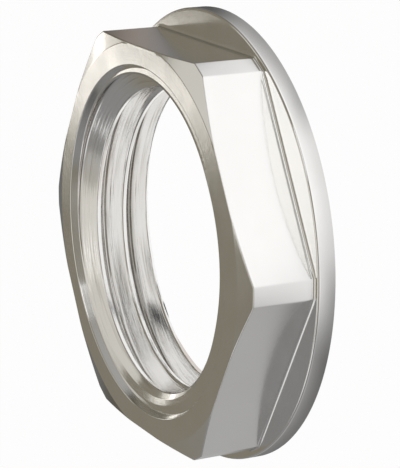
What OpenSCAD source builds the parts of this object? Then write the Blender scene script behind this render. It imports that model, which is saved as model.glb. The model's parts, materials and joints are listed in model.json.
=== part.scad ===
// Flanged hexagon lock nut for a parallel pipe thread: turned corners, a chamfered front,
// a thin round flange behind and a shallow recess round the mouth of the thread.
// Millimetres. The origin is the middle of the flange's bearing face, +Z runs along the
// thread axis to the front of the hexagon, and two of the flats face +X and -X.

/* [Bore] */
// Diameter of the bore, the crest diameter of the thread
thread_minor_d = 18.63; // [17:0.01:19.2]
// Width of the flat ledge that the thread runs out through, from the bore to the recess wall
ledge_w = 1.285; // [0.8:0.005:2]
// Depth of the front recess, from the front face to the ledge
recess_depth = 0.44; // [0.2:0.02:1]
// How far the recess wall widens on its way from the ledge to the front face
recess_flare = 0.18; // [0.1:0.02:0.6]
// Width of the countersink round the bore in the bearing face
countersink_w = 1.155; // [0.6:0.005:2]
// Slope of the countersink, from the bearing face
countersink_slope = 30; // [20:1:50]

/* [Hexagon] */
// Least width of the front face, from the recess to a flat
rim_w = 1.22; // [0.6:0.02:4]
// Height of the hexagon above the flange
hex_h = 4.25; // [3:0.05:12]
// How much is turned off each sharp corner
corner_cut = 0.33; // [0.1:0.01:1]
// Slope of the front chamfer, from the front face
chamfer_slope = 15; // [5:1:40]
// How far outside the flats' own circle the front chamfer starts
chamfer_start = 0.15; // [0:0.01:0.5]
// Radius of the fillet between the hexagon and the flange
fillet_r = 0.18; // [0.05:0.01:0.4]

/* [Flange] */
// Thickness of the flange
flange_t = 1.2; // [0.8:0.1:4]
// How far the flange reaches past the turned corners
flange_reach = 0.41; // [0.2:0.01:6]
// Radius on the two edges of the flange's rim
rim_edge_r = 0.15; // [0.05:0.01:0.3]

/* [Hidden] */
$fn = 96;

sides = 6;
half_side_angle = 180 / sides;

// Radii, from the bore outwards
bore_r = thread_minor_d / 2;
recess_floor_r = bore_r + ledge_w;
recess_mouth_r = recess_floor_r + recess_flare;
countersink_r = bore_r + countersink_w;
apothem = recess_mouth_r + rim_w;
chamfer_r = apothem + chamfer_start;
corner_r = apothem / cos(half_side_angle) - corner_cut;
flange_r = corner_r + flange_reach;

// Heights, from the bearing face upwards
nut_h = flange_t + hex_h;
ledge_z = nut_h - recess_depth;
countersink_z = countersink_w * tan(countersink_slope);
chamfer_drop = (corner_r - chamfer_r) * tan(chamfer_slope);

// The fillet keeps on the flange, and the rim keeps a straight band between its edges
fillet = min(fillet_r, flange_reach);
rim_edge = min(rim_edge_r, flange_t / 3);

// Cuts run past the faces that they open by this much
overcut = 1;

// Concave corner fill, from the corner at the origin outwards along +X and up along +Y
module fillet_section() {
    difference() {
        square(fillet);
        translate([fillet, fillet]) circle(fillet);
    }
}

// Half section of the turned blank in front of the flange: the corners' diameter, the
// fillet at their foot and the chamfer that runs up to the front face
module blank_section() {
    polygon([
        [0, 0],
        [corner_r, 0],
        [corner_r, nut_h - chamfer_drop],
        [chamfer_r, nut_h],
        [0, nut_h]
    ]);
    translate([corner_r, flange_t]) fillet_section();
    square([corner_r + fillet, flange_t]);
}

// Section across one pair of flats, with the fillet at the foot of each
module flats_section() {
    for (side = [0, 1]) mirror([side, 0]) {
        square([apothem, nut_h]);
        translate([apothem, flange_t]) fillet_section();
        square([apothem + fillet, flange_t]);
    }
}

// The turned blank with its six flats milled down to the flange
module hexagon() {
    intersection() {
        rotate_extrude() blank_section();
        between_the_flats();
    }
}

// The space between three pairs of flats, each a straight bar along its own pair
module between_the_flats() {
    bar_length = 2 * (flange_r + overcut);
    intersection_for (turn = [0 : 2 * half_side_angle : 180 - half_side_angle])
        rotate([0, 0, turn])
            translate([0, bar_length / 2, 0])
                rotate([90, 0, 0])
                    linear_extrude(bar_length) flats_section();
}

// Half section of the flange, with a radius on both edges of its rim
module flange_section() {
    square([flange_r - rim_edge, flange_t]);
    translate([0, rim_edge]) square([flange_r, flange_t - 2 * rim_edge]);
    for (z = [rim_edge, flange_t - rim_edge])
        translate([flange_r - rim_edge, z]) circle(rim_edge);
}

// Half section of everything bored out: countersink, thread bore, ledge and flared recess
module bore_section() {
    polygon([
        [0, -overcut],
        [countersink_r, -overcut],
        [countersink_r, 0],
        [bore_r, countersink_z],
        [bore_r, ledge_z],
        [recess_floor_r, ledge_z],
        [recess_mouth_r, nut_h],
        [recess_mouth_r, nut_h + overcut],
        [0, nut_h + overcut]
    ]);
}

module lock_nut() {
    color([0.79, 0.77, 0.74])
        difference() {
            union() {
                hexagon();
                rotate_extrude() flange_section();
            }
            rotate_extrude() bore_section();
        }
}

lock_nut();
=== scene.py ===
import json
import math

import bpy
import numpy as np
from mathutils import Matrix, Vector


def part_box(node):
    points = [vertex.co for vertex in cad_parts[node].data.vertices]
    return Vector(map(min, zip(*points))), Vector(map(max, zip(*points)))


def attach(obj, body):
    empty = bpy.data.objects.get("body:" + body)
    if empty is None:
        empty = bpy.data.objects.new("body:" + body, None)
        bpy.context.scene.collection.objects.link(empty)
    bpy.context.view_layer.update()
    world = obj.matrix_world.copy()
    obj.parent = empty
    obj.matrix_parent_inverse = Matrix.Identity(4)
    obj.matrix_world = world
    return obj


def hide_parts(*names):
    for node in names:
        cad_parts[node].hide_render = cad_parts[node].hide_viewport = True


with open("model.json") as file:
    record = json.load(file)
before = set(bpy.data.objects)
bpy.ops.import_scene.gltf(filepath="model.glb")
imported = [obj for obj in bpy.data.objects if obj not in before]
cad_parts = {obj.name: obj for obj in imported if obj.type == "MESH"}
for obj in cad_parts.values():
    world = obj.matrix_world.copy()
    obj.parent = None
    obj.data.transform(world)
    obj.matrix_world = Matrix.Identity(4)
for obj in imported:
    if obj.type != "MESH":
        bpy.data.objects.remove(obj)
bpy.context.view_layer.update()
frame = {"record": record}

# The nut. One piece of brass bar, turned to the flange and to the hexagon's corners, bored, recessed and
# chamfered on the lathe, milled to six flats down to the flange, tapped with a right-hand pipe thread,
# and plated with bright nickel, which leaves every edge a little soft.
MM = 0.001
_, box_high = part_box("lock_nut")
flange_r = min(box_high.x, box_high.y)
nut_h = box_high.z
thread_mount = next(m for m in frame["record"]["mounts"] if m["name"] == "thread")
crest_r = thread_mount["dims"]["r_mm"] * MM

ledge_w = 1.285 * MM
recess_depth = 0.44 * MM
recess_flare = 0.18 * MM
rim_w = 1.22 * MM
countersink_w = 1.155 * MM
countersink_slope = math.radians(30)
corner_cut = 0.33 * MM
chamfer_slope = math.radians(15)
chamfer_start = 0.15 * MM
chamfer_least = 0.14 * MM
flange_t = 1.2 * MM

# How far each kind of edge is rounded, and how the thread's lip rolls over on to the ledge
crisp = 0.03 * MM
eased = 0.05 * MM
fillet = 0.18 * MM
rim_front_round = 0.12 * MM
rim_back_round = 0.15 * MM
countersink_round = 0.04 * MM
lip_roll = 0.2 * MM
lip_roll_w = 0.32 * MM

recess_floor_r = crest_r + ledge_w
recess_mouth_r = recess_floor_r + recess_flare
countersink_r = crest_r + countersink_w
apothem = recess_mouth_r + rim_w
chamfer_r = apothem + chamfer_start
half_side = math.radians(30)
corner_r = apothem / math.cos(half_side) - corner_cut
ledge_z = nut_h - recess_depth

# Pipe thread: pitch, root radius, half angle of its flanks, and where a root crosses the ledge
pitch = 1.814 * MM
root_r = recess_floor_r - 0.04 * MM
flank_angle = math.radians(27.5)
root_round = 0.11 * pitch
crest_soft = 0.06 * MM
thread_start = math.radians(96.5)


def round_turn():
    """Angles for one turn about the axis. Each sixth is evenly divided over its flat and bunches up on both
    sides of the two edges where the flat meets the turned corner."""
    edge = math.acos(apothem / corner_r)
    bunch = np.radians([0.05, 0.13, 0.26, 0.5])
    clear_of_edge = bunch[-1] * 2
    flat = np.linspace(-edge + clear_of_edge, edge - clear_of_edge, 64)
    near_edge = np.concatenate([-bunch[::-1], [0.0], bunch])
    band = np.linspace(edge + clear_of_edge, half_side, 3)
    sixth = np.concatenate([-band[::-1], -edge + near_edge, flat, edge + near_edge, band[:-1]])
    return np.concatenate([sixth + k * 2 * half_side for k in range(6)])


def soft_min(a, b, width):
    """The smaller of a and b, blended by a parabola where they differ by less than the width."""
    h = np.clip(0.5 + 0.5 * (b - a) / width, 0.0, 1.0)
    return b + (a - b) * h - width * h * (1.0 - h)


def outline_r(turn):
    """Radius of the hexagon at an angle: the flat's distance over the cosine of the angle from the middle of
    the flat, or the turned corner's radius, whichever is less, with the edge between them softened."""
    off_middle = (turn + half_side) % (2 * half_side) - half_side
    return soft_min(apothem / np.cos(off_middle), corner_r + 0 * turn, crisp)


def from_root(turn, z):
    """Distance along the axis from the nearest root of the thread, which climbs by one pitch a turn."""
    u = z - ledge_z - pitch * (turn - thread_start) / (2 * math.pi)
    return np.abs((u + pitch / 2) % pitch - pitch / 2)


def thread_r(turn, z):
    """Radius of the thread's surface. From the root the profile is a round arc and then a straight flank,
    and it stops at the flat crest that the drill left."""
    u = from_root(turn, z)
    reach = root_round * math.cos(flank_angle)
    arc = root_round - np.sqrt(np.maximum(root_round**2 - np.minimum(u, reach) ** 2, 0))
    flank = np.maximum(u - reach, 0) / math.tan(flank_angle)
    return root_r - soft_min(arc + flank, root_r - crest_r, crest_soft)


def bore_r(turn, z):
    """Radius of the tapped hole below the ledge: the thread, or the countersink's cone where it is wider."""
    cone = countersink_r - z / math.tan(countersink_slope)
    return -soft_min(-thread_r(turn, z), -cone, eased)


def soft_corner(before, corner, after, cut):
    """Points round one corner of the section, with the tip cut back by a length along both sides and a conic
    arc put in its place. One more point on each side keeps the long faces flat up to the arc."""
    to_before = before - corner
    to_after = after - corner
    len_before = np.linalg.norm(to_before, axis=-1, keepdims=True)
    len_after = np.linalg.norm(to_after, axis=-1, keepdims=True)
    to_before = to_before / len_before
    to_after = to_after / len_after
    most_of_side, flat_from = 0.3, 1.6
    cut = np.minimum(cut, most_of_side * np.minimum(len_before, len_after))
    half_angle = np.arccos(np.clip((to_before * to_after).sum(-1, keepdims=True), -1, 1)) / 2
    weight = np.sin(half_angle)
    ring = [corner + flat_from * cut * to_before]
    for s in np.linspace(0, 1, 5):
        a, b, c = (1 - s) ** 2, 2 * weight * s * (1 - s), s**2
        arc = a * (corner + cut * to_before) + b * corner + c * (corner + cut * to_after)
        ring.append(arc / (a + b + c))
    ring.append(corner + flat_from * cut * to_after)
    return np.stack(ring, axis=1)


def nut_section(turn):
    """The closed section of the nut in each half plane through the axis, as (radius, height) pairs: up the
    tapped hole, over the ledge, recess, front face and chamfer, down the hexagon, and round the flange. Each
    point also gets a 1 on an edge or a -1 in an inside corner, and a 1 in the tapped hole."""
    wall_r = outline_r(turn)
    wall_top = nut_h - np.maximum(wall_r - chamfer_r, 0) * math.tan(chamfer_slope)

    def at(r, z):
        return np.stack(np.broadcast_arrays(r, z + 0 * turn), axis=-1)

    lip_r = bore_r(turn, ledge_z)
    lip_w = recess_floor_r - lip_r
    roll = lip_roll * (lip_r - crest_r) / (root_r - crest_r)
    edge_z = ledge_z - np.minimum(roll, 0.4 * lip_w)
    roll_w = np.minimum(lip_roll_w, 0.7 * lip_w)
    hole_start = 0.06 * MM
    fine_from, hole_end = 0.78, 0.985
    rise = np.concatenate([np.linspace(0, fine_from, 70)[:-1], np.linspace(fine_from, hole_end, 42)])
    hole_z = hole_start + rise * (edge_z - hole_start)[:, None]
    hole = np.stack([bore_r(turn[:, None], hole_z), hole_z], axis=-1)
    corners = [
        (at(bore_r(turn, edge_z), edge_z), crisp, 1),
        (at(lip_r + roll_w, ledge_z), lip_roll, 1),
        (at(recess_floor_r + 0 * turn, ledge_z), crisp, -1),
        (at(recess_mouth_r + 0 * turn, nut_h), eased, 1),
        (at(np.minimum(chamfer_r, wall_r - chamfer_least), nut_h), eased, 1),
        (at(wall_r, wall_top), eased, 1),
        (at(wall_r, flange_t), fillet, -1),
        (at(flange_r + 0 * turn, flange_t), rim_front_round, 1),
        (at(flange_r + 0 * turn, 0.0), rim_back_round, 1),
        (at(countersink_r + 0 * turn, 0.0), countersink_round, 1),
    ]
    stops = [hole[:, -1]] + [corner for corner, _, _ in corners] + [hole[:, 0]]
    rings = [hole]
    edge = [np.zeros(hole.shape[1])]
    over_corner = np.array([0, 0.6, 1, 1, 1, 0.6, 0])
    for k, (corner, cut, proud) in enumerate(corners):
        rings.append(soft_corner(stops[k], corner, stops[k + 2], cut))
        edge.append(proud * over_corner)
    tapped = np.concatenate([np.ones(hole.shape[1])] + [np.zeros(len(e)) for e in edge[1:]])
    return np.concatenate(rings, axis=1), np.concatenate(edge), tapped


def closed_grid(name, points):
    """A mesh from a grid of points that closes on itself both ways, with quads between neighbours."""
    rows, columns = points.shape[:2]
    index = np.arange(rows * columns).reshape(rows, columns)
    right = np.roll(index, -1, axis=0)
    quads = np.stack([index, right, np.roll(right, -1, axis=1), np.roll(index, -1, axis=1)], axis=-1)
    mesh = bpy.data.meshes.new(name)
    mesh.from_pydata(points.reshape(-1, 3), [], quads.reshape(-1, 4))
    mesh.polygons.foreach_set("use_smooth", np.ones(rows * columns, bool))
    mesh.update()
    made = bpy.data.objects.new(name, mesh)
    bpy.context.scene.collection.objects.link(made)
    return made


turn = round_turn()
section, edge, tapped = nut_section(turn)
radius, height = section[..., 0], section[..., 1]
points = np.stack([radius * np.cos(turn)[:, None], radius * np.sin(turn)[:, None], height], axis=-1)
nut = closed_grid("nut", points)


def surface_value(piece, name, values):
    """A named value on every point of a grid piece, for its finish to read."""
    held = piece.data.attributes.new(name, "FLOAT", "POINT")
    held.data.foreach_set("value", np.ascontiguousarray(values, dtype=np.float32).ravel())


surface_value(nut, "edge", np.broadcast_to(edge, radius.shape))
surface_value(nut, "tapped", np.broadcast_to(tapped, radius.shape))
surface_value(nut, "thread_side", from_root(turn[:, None], height) / MM)


def node(tree, kind, **inputs):
    """Adds a shader node and sets its inputs by name, linking those that are given as another socket."""
    made = tree.nodes.new(kind)
    for key, value in inputs.items():
        socket = made.inputs[int(key[1:])] if key.startswith("_") else made.inputs[key.replace("_", " ")]
        if isinstance(value, bpy.types.NodeSocket):
            tree.links.new(value, socket)
        else:
            socket.default_value = value
    return made


def surface_read(tree, name):
    """The named value that surface_value put on the piece."""
    made = tree.nodes.new("ShaderNodeAttribute")
    made.attribute_name = name
    return made.outputs["Fac"]


def math_node(tree, operation, *values):
    """A Math node's result, from numbers or other sockets."""
    made = node(tree, "ShaderNodeMath", **{f"_{k}": v for k, v in enumerate(values)})
    made.operation = operation
    return made.outputs[0]


def vector_node(tree, operation, a, b, result):
    """A Vector Math node's result, from two vectors."""
    made = node(tree, "ShaderNodeVectorMath", _0=a, _1=b)
    made.operation = operation
    return made.outputs[result]


def along(tree, vector, way):
    """The length of a vector along a direction."""
    return vector_node(tree, "DOT_PRODUCT", vector, tuple(Vector(way).normalized()), "Value")


def span(tree, value, low, high, to_low=0.0, to_high=1.0):
    """A value carried from one range to another by a smooth step, and held at both ends."""
    ends = {"From_Min": low, "From_Max": high, "To_Min": to_low, "To_Max": to_high}
    made = node(tree, "ShaderNodeMapRange", Value=value, **ends)
    made.interpolation_type = "SMOOTHSTEP"
    return made.outputs[0]


def tint(tree, amount, low, high):
    """A colour between two others, each given as a colour or as another socket."""
    low, high = [c if isinstance(c, bpy.types.NodeSocket) else (*c, 1) for c in (low, high)]
    made = node(tree, "ShaderNodeMix", _0=amount, _6=low, _7=high)
    made.data_type = "RGBA"
    return made.outputs[2]


def noise(tree, where, grain, detail):
    """Even noise whose coarsest patches are about as wide as the grain."""
    return node(tree, "ShaderNodeTexNoise", Vector=where, Scale=1 / grain, Detail=detail).outputs[0]


def drawn_noise(tree, where, grain, across, spacing, detail):
    """Noise drawn out along a tool's path: coarse by the place, fine by a distance across the path."""
    place = vector_node(tree, "MULTIPLY", where, (1 / grain, 1 / grain, 0), "Vector")
    lines = node(tree, "ShaderNodeCombineXYZ", Z=math_node(tree, "MULTIPLY", across, 1 / spacing))
    return noise(tree, vector_node(tree, "ADD", place, lines.outputs[0], "Vector"), 1.0, detail)


# Nickel's own tone between two cloudy values, the tone of the painted shade in the roots, and the dull tone
# of the tap's lines
plate_low = (0.872, 0.86, 0.842)
plate_high = (0.892, 0.884, 0.87)
root_shade_tone = (0.42, 0.40, 0.375)
dull_tone = (0.58, 0.56, 0.525)
# Heights of the fine relief, in micrometres
MICRON = 1e-6
turned_um = 0.8
ripple_um = 1.6
pit_um = 0.8
tap_um = 8.0
# Spacing of the lathe's lines, and of the tap's, which go by the distance from the root in millimetres
lathe_spacing = 0.09 * MM
tap_spacing_mm = 0.055
dull_spacing_mm = 0.11

nickel = bpy.data.materials.new("bright_nickel")
nickel.use_nodes = True
tree = nickel.node_tree
shader = tree.nodes["Principled BSDF"]
where = node(tree, "ShaderNodeTexCoord").outputs["Object"]
worn = math_node(tree, "MAXIMUM", surface_read(tree, "edge"), 0.0)
in_thread = surface_read(tree, "tapped")
thread_side = surface_read(tree, "thread_side")
spread = vector_node(tree, "MULTIPLY", where, (1, 1, 0), "Vector")
from_axis = vector_node(tree, "LENGTH", spread, (0, 0, 0), "Value")
up_wall = along(tree, where, (0, 0, 1))
faces = node(tree, "ShaderNodeNewGeometry").outputs["Normal"]
lying = span(tree, math_node(tree, "ABSOLUTE", along(tree, faces, (0, 0, 1))), 0.4, 0.9)
across = node(tree, "ShaderNodeMix", _0=lying, _2=up_wall, _3=from_axis).outputs[0]
turned_lines = drawn_noise(tree, where, 7 * MM, across, lathe_spacing, 3.0)
tap_lines = drawn_noise(tree, where, 3.5 * MM, thread_side, tap_spacing_mm, 2.0)
ripple = noise(tree, where, 0.45 * MM, 1.0)
cloud = noise(tree, where, 2.6 * MM, 3.0)
pits = span(tree, noise(tree, where, 0.16 * MM, 0.0), 0.84, 0.90)

turned_h = math_node(tree, "MULTIPLY", turned_lines, turned_um)
ripple_h = math_node(tree, "MULTIPLY", ripple, ripple_um)
pit_h = math_node(tree, "MULTIPLY", pits, pit_um)
tap_h = math_node(tree, "MULTIPLY", math_node(tree, "MULTIPLY", tap_lines, in_thread), tap_um)
fine_h = math_node(tree, "SUBTRACT", math_node(tree, "ADD", turned_h, ripple_h), pit_h)
fine_h = math_node(tree, "ADD", fine_h, tap_h)
relief = node(tree, "ShaderNodeBump", Strength=1.0, Distance=MICRON, Height=fine_h)
tree.links.new(relief.outputs[0], shader.inputs["Normal"])

plain_rough = span(tree, cloud, 0.3, 0.7, 0.125, 0.165)
rough = node(tree, "ShaderNodeMix", _0=in_thread, _2=plain_rough, _3=0.12).outputs[0]
rough = math_node(tree, "SUBTRACT", rough, math_node(tree, "MULTIPLY", worn, 0.03))
rough = math_node(tree, "ADD", rough, math_node(tree, "MULTIPLY", pits, 0.1))
tree.links.new(rough, shader.inputs["Roughness"])

plate = tint(tree, span(tree, cloud, 0.3, 0.7), plate_low, plate_high)
# Painted shade: the thread's roots darkened, fully towards the back of the hole and less towards the front
near_root = span(tree, thread_side, 0.08, 0.24, 1.0, 0.0)
root_shade_depth = span(tree, up_wall, 1.6 * MM, 2.9 * MM, 1.0, 0.4)
painted_root_shade = math_node(tree, "MULTIPLY", math_node(tree, "MULTIPLY", near_root, in_thread), root_shade_depth)
plate = tint(tree, painted_root_shade, plate, root_shade_tone)
dull_lines = drawn_noise(tree, where, 5 * MM, thread_side, dull_spacing_mm, 1.0)
dull_lines = math_node(tree, "MULTIPLY", span(tree, dull_lines, 0.52, 0.74, 0.0, 0.7), in_thread)
plate = tint(tree, dull_lines, plate, dull_tone)
tree.links.new(plate, shader.inputs["Base Color"])
shader.inputs["Metallic"].default_value = 1.0
nut.data.materials.append(nickel)
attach(nut, "root")
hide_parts("lock_nut")

# The floor. A pale matt sheet that the nut lies on, white to the camera and clear from below. In the polish
# it glows with painted light and shade: a painted gradient, white towards the key light and under the hole
# and grey away from the light, a painted contact shadow round the rim, a painted warm reflection, and a few
# painted dark patches that give the bore its dark reflections.
floor_half = 1.0
floor_mesh = bpy.data.meshes.new("floor")
floor_corners = floor_half * np.array([[-1, -1, 0], [1, -1, 0], [1, 1, 0], [-1, 1, 0]], float)
floor_mesh.from_pydata(floor_corners, [], [[0, 1, 2, 3]])
floor = bpy.data.objects.new("floor", floor_mesh)
bpy.context.scene.collection.objects.link(floor)
sheet = bpy.data.materials.new("pale_sheet")
sheet.use_nodes = True
tree = sheet.node_tree
tree.nodes.clear()
output = tree.nodes.new("ShaderNodeOutputMaterial")
path = tree.nodes.new("ShaderNodeLightPath")
where = node(tree, "ShaderNodeTexCoord").outputs["Object"]
part = node(tree, "ShaderNodeSeparateXYZ", Vector=where)
side_x, side_y = part.outputs["X"], part.outputs["Y"]
outward = vector_node(tree, "LENGTH", where, (0, 0, 0), "Value")
bearing = math_node(tree, "ARCTAN2", side_y, side_x)

# The sheet round the nut, as the polish sees it: painted light, brightest on the key light's side, and
# painted contact shadow where the rim comes down to it
key_side = math.radians(-52)
rim_side = math.radians(-68)
contact_w = 2.6 * MM
off_key = math_node(tree, "ABSOLUTE", math_node(tree, "SUBTRACT", bearing, key_side))
grey_side = span(tree, side_x, -12 * MM, 8 * MM, 0.43, 0.22)
pale_side = span(tree, off_key, math.radians(36), math.radians(60), 0.62, 0.0)
white_side = span(tree, off_key, math.radians(14), math.radians(38), 0.30, 0.0)
tone = math_node(tree, "ADD", grey_side, math_node(tree, "ADD", pale_side, white_side))
off_rim = math_node(tree, "ABSOLUTE", math_node(tree, "SUBTRACT", bearing, rim_side))
contact = span(tree, off_rim, math.radians(12), math.radians(26), 0.74, 0.42)
shade = span(tree, outward, flange_r, flange_r + contact_w, contact, 1.0)
tone = math_node(tree, "MULTIPLY", tone, shade)
# Painted shade: the sheet darker further out towards +Y
tone = math_node(tree, "MULTIPLY", tone, span(tree, side_y, 11 * MM, 20 * MM, 1.0, 0.35))

# The sheet under the hole as the polish sees it, and its painted dark oblong patches, which stand in for
# dark reflections in the bore: middle, short direction, half width and half length, in millimetres
dark_patch_tone = 0.05
painted_dark_patches = [
    ((2.3, 3.05), (0.423, 0.906), 0.5, 2.2),
    ((-2.74, 6.2), (-0.97, 0.24), 0.3, 0.9),
    ((-4.75, 6.8), (-0.8, -0.6), 0.42, 1.0),
    ((-6.9, 7.5), (-0.872, -0.49), 0.5, 0.6),
]
under_hole = math_node(tree, "LESS_THAN", outward, countersink_r)
# Painted shade: the sheet under the near part of the hole is dimmer to the polish
near_part = span(tree, side_y, 4.4 * MM, 5.6 * MM, 1.0, 0.0)
near_part = math_node(tree, "MULTIPLY", near_part, span(tree, side_x, -4.6 * MM, -3.0 * MM, 1.0, 0.0))
hole_tone = span(tree, near_part, 0.0, 1.0, 1.0, 0.66)
for (x, y), (way_x, way_y), half_w, half_l in painted_dark_patches:
    off = vector_node(tree, "SUBTRACT", where, (x * MM, y * MM, 0), "Vector")
    off_w = math_node(tree, "ABSOLUTE", along(tree, off, (way_x, way_y, 0)))
    off_l = math_node(tree, "ABSOLUTE", along(tree, off, (-way_y, way_x, 0)))
    off_w = span(tree, off_w, 0.6 * half_w * MM, 1.4 * half_w * MM, dark_patch_tone, 1.0)
    off_l = span(tree, off_l, 0.7 * half_l * MM, 1.3 * half_l * MM, dark_patch_tone, 1.0)
    hole_tone = math_node(tree, "MINIMUM", hole_tone, math_node(tree, "MAXIMUM", off_w, off_l))
hole_tone = math_node(tree, "MULTIPLY", under_hole, hole_tone)
outside = math_node(tree, "SUBTRACT", 1.0, under_hole)
tone = math_node(tree, "MULTIPLY_ADD", tone, outside, hole_tone)

# Painted light: to the polish the sheet mostly glows with the painted tone instead of being lit by the
# lamps; to the camera it mostly glows white
mirrored = math_node(tree, "MAXIMUM", path.outputs["Is Glossy Ray"], path.outputs["Is Transmission Ray"])
glow = node(tree, "ShaderNodeMix", _0=mirrored, _2=1.0, _3=tone)
matt = node(tree, "ShaderNodeBsdfDiffuse", Color=(0.85, 0.85, 0.85, 1))
# Painted warm reflection: to the polish the sheet turns warm out towards +X and +Y, and on the near part of
# the hole
warm_reflection = math_node(tree, "MULTIPLY", span(tree, side_x, 6 * MM, 12 * MM), span(tree, side_y, 5 * MM, 14 * MM))
warm_hole_reflection = math_node(tree, "MULTIPLY", under_hole, math_node(tree, "MULTIPLY", near_part, 0.5))
warm_reflection = math_node(tree, "MULTIPLY", math_node(tree, "MAXIMUM", warm_reflection, warm_hole_reflection), mirrored)
reflection_tint = tint(tree, warm_reflection, (1, 1, 1), (1.3, 1.12, 1.0))
white = node(tree, "ShaderNodeEmission", Color=reflection_tint, Strength=glow.outputs[0])
seen = math_node(tree, "MULTIPLY", math_node(tree, "MAXIMUM", path.outputs["Is Camera Ray"], mirrored), 0.97)
mixed = node(tree, "ShaderNodeMixShader", _0=seen, _1=matt.outputs[0], _2=white.outputs[0])
from_below = node(tree, "ShaderNodeNewGeometry").outputs["Backfacing"]
clear = tree.nodes.new("ShaderNodeBsdfTransparent").outputs[0]
sided = node(tree, "ShaderNodeMixShader", _0=from_below, _1=mixed.outputs[0], _2=clear)
tree.links.new(sided.outputs[0], output.inputs["Surface"])
floor_mesh.materials.append(sheet)


# The light. Soft boxes in front on the right, on the left, overhead and behind, in a dim warm room with a
# greyer wall on the left and a paler one low down on the right. To the camera the room is white.
def soft_box(name, toward, distance, size, glow, colour=(1, 1, 1), lean=0.0):
    """An oblong area lamp that faces the nut from a direction, turned in its own plane by a lean, with its
    power worked out from how bright its face is to look: brightness times pi times its area."""
    data = bpy.data.lights.new(name, "AREA")
    data.shape = "RECTANGLE"
    data.size, data.size_y = size
    data.energy = glow * math.pi * size[0] * size[1]
    data.color = colour
    lamp = bpy.data.objects.new(name, data)
    outward = Vector(toward).normalized()
    across = Vector((0, 1e-3, 1)).cross(outward).normalized()
    upward = outward.cross(across)
    turned = math.cos(lean) * across + math.sin(lean) * upward
    axes = Matrix((turned, outward.cross(turned), outward)).transposed()
    lamp.matrix_world = Matrix.Translation(outward * distance) @ axes.to_4x4()
    lamp.visible_camera = False
    bpy.context.scene.collection.objects.link(lamp)


cool_light = (0.965, 0.985, 1.02)
warm_light = (1.0, 0.97, 0.94)
above = (-0.046, -0.106, 0.497)
behind = (-0.0402, 0.402, 0.142)
behind_low = (-0.0105, 0.40, 0.09)
soft_box("key", (0.66, -0.52, 0.575), 0.4, (0.16, 0.168), 1.12, cool_light)
soft_box("fill", (-0.64, 0.0, 0.76), 0.5, (0.4, 0.14), 0.62)
soft_box("overhead", above, 0.51, (0.38, 0.56), 0.28)
soft_box("overhead_wide", above, 0.52, (0.62, 0.56), 0.2)
soft_box("back", (0.088, 0.317, 0.50), 0.6, (0.36, 0.44), 0.42)
soft_box("behind", behind, 0.4285, (0.025, 0.157), 1.2, warm_light, math.radians(-37))
soft_box("behind_low", behind_low, 0.41, (0.045, 0.14), 0.58, warm_light, math.radians(25))

room_tone = (0.225, 0.207, 0.163)
left_tone = (0.26, 0.26, 0.26)
low_tone = (0.38, 0.375, 0.36)
world = bpy.data.worlds.new("room")
bpy.context.scene.world = world
world.use_nodes = True
tree = world.node_tree
way = node(tree, "ShaderNodeTexCoord").outputs["Generated"]
left = span(tree, along(tree, way, (-1, 0, 0.4)), 0.6, 0.8)
wall = tint(tree, left, room_tone, left_tone)
rise = along(tree, way, (0, 0, 1))
low = span(tree, rise, 0.27, 0.41, 1.0, 0.0)
low = math_node(tree, "MULTIPLY", low, span(tree, along(tree, way, (0.77, -0.64, 0)), 0.05, 0.35))
wall = tint(tree, low, wall, low_tone)
to_camera = tree.nodes.new("ShaderNodeLightPath").outputs["Is Camera Ray"]
wall = tint(tree, to_camera, wall, (1, 1, 1))
tree.links.new(wall, tree.nodes["Background"].inputs["Color"])
strength = math_node(tree, "MAXIMUM", span(tree, rise, 0.02, 0.25, 0.4, 1.0), low)
strength = math_node(tree, "MAXIMUM", strength, to_camera)
tree.links.new(strength, tree.nodes["Background"].inputs["Strength"])

# The camera. It looks down on the nut from beside it, turned so that the thread axis lies across the
# picture. Its distance and its shift in the picture's plane go by half the width across flats.
picture_px = (400, 468)
focal_px = 2172.4
azimuth = math.radians(-73.505)
tilt = math.radians(63.868)
roll = math.radians(97.283)
sight = 11.077 * apothem
aside = -0.0908 * apothem
below = 0.0177 * apothem
away = Vector((math.sin(tilt) * math.cos(azimuth), math.sin(tilt) * math.sin(azimuth), math.cos(tilt)))
level = (-away).cross(Vector((0, 0, 1))).normalized()
down = (-away).cross(level)
picture_right = math.cos(roll) * level + math.sin(roll) * down
picture_down = -math.sin(roll) * level + math.cos(roll) * down
camera_data = bpy.data.cameras.new("camera")
camera_data.sensor_width = 36.0
camera_data.lens = focal_px / max(picture_px) * camera_data.sensor_width
camera_data.clip_start = 0.005
camera = bpy.data.objects.new("camera", camera_data)
bpy.context.scene.collection.objects.link(camera)
place = Vector((0, 0, nut_h / 2)) + away * sight - picture_right * aside - picture_down * below
axes = Matrix((picture_right, -picture_down, away)).transposed()
camera.matrix_world = Matrix.Translation(place) @ axes.to_4x4()
bpy.context.scene.camera = camera
bpy.context.scene.view_settings.view_transform = "Standard"
